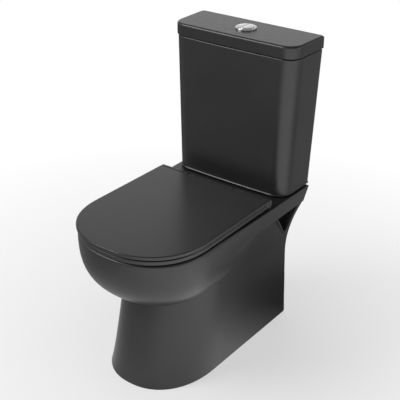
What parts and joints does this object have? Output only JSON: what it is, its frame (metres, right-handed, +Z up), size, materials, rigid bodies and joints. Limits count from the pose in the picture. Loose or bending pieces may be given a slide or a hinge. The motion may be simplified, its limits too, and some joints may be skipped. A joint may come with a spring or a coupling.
{
  "type": "close coupled toilet",
  "caption": "Floor standing close coupled toilet: skirted ceramic pan, cistern bolted to its deck, hinged seat and cover, push buttons, flush and fill valves.",
  "frame": {"origin": "on the floor, on the centre plane, midway between the wall plane at the back of the cistern lid and the tip of the seat cover", "axes": "+Z up, +Y to the wall behind, -Y to the front, +X to the right seen from the front, across the width"},
  "size_m": [0.3736, 0.62, 0.807],
  "materials": {
    "black_ceramic": "satin black glaze",
    "black_seat_plastic": "satin black moulded seat plastic",
    "chrome_button": "polished chrome plate",
    "black_rubber": "moulded rubber",
    "zinc_steel": "zinc plated steel",
    "stainless": "stainless steel",
    "black_hinge": "satin black coated zinc casting",
    "white_plastic": "moulded plastic",
    "blue_plastic": "moulded plastic"
  },
  "bodies": {
    "toilet": {"pan": "black_ceramic", "cistern": "black_ceramic", "cistern_lid": "black_ceramic", "button_bezel": "chrome_button", "lid_pads": "black_rubber", "cistern_pads": "black_rubber", "bolt_seals": "black_rubber", "doughnut_washer": "black_rubber", "flush_valve_washer": "black_rubber", "fill_valve_washer": "black_rubber", "hinge_washers": "black_rubber", "coupling_plate": "zinc_steel", "bolt_washers": "zinc_steel", "deck_washers": "zinc_steel", "coupling_bolts": "zinc_steel", "hinge_studs": "stainless", "side_screws": "stainless", "lever_pin": "stainless", "hinge_posts": "black_hinge", "wing_nuts": "white_plastic", "hinge_nuts": "white_plastic", "outlet_nut": "white_plastic", "button_nut": "white_plastic", "fill_valve_nut": "white_plastic", "floor_brackets": "white_plastic", "flush_valve_body": "white_plastic", "flush_valve_cage": "white_plastic", "flush_valve_cap": "blue_plastic", "fill_valve_riser": "white_plastic", "fill_valve_head": "blue_plastic"},
    "seat": {"seat": "black_seat_plastic", "seat_buffers": "black_rubber", "hinge_pins": "stainless"},
    "cover": {"cover": "black_seat_plastic", "cover_lugs": "black_hinge", "cover_buffers": "black_rubber"},
    "full_button": {"full_flush_button": "chrome_button", "full_flush_rod": "white_plastic"},
    "half_button": {"half_flush_button": "chrome_button", "half_flush_rod": "white_plastic"},
    "flush_lift": {"overflow_tube": "white_plastic", "flush_seal": "black_rubber", "valve_float": "blue_plastic", "lift_yoke": "blue_plastic"},
    "fill_float": {"fill_valve_float": "white_plastic", "float_link": "blue_plastic"},
    "fill_lever": {"fill_valve_lever": "white_plastic"}
  },
  "joints": [
    {"name": "seat_lift", "type": "hinge", "parent": "toilet", "child": "seat", "pos_m": [0, 0.11, 0.4145], "axis": [-1, 0, 0], "range_deg": [0, 96]},
    {"name": "cover_lift", "type": "hinge", "parent": "seat", "child": "cover", "pos_m": [0, 0.11, 0.4145], "axis": [1, 0, 0], "range_deg": [-96, 0]},
    {"name": "full_flush_press", "type": "slide", "parent": "toilet", "child": "full_button", "axis": [0, 0, -1], "range_m": [0, 0.006], "stiffness_N_per_m": 400, "springref_m": -0.008},
    {"name": "half_flush_press", "type": "slide", "parent": "toilet", "child": "half_button", "axis": [0, 0, -1], "range_m": [0, 0.006], "stiffness_N_per_m": 400, "springref_m": -0.008},
    {"name": "flush_valve_lift", "type": "slide", "parent": "toilet", "child": "flush_lift", "axis": [0, 0, 1], "range_m": [0, 0.018]},
    {"name": "fill_float_rise", "type": "slide", "parent": "toilet", "child": "fill_float", "axis": [0, 0, 1], "range_m": [0, 0.012]},
    {"name": "fill_lever_turn", "type": "hinge", "parent": "toilet", "child": "fill_lever", "pos_m": [-0.085, 0.24, 0.614], "axis": [0, -1, 0], "range_deg": [0, 17.5]}
  ],
  "couplings": [
    {"joint": "flush_valve_lift", "follows": "full_flush_press", "ratio": 3},
    {"joint": "fill_lever_turn", "follows": "fill_float_rise", "rad_per_m": 25}
  ]
}
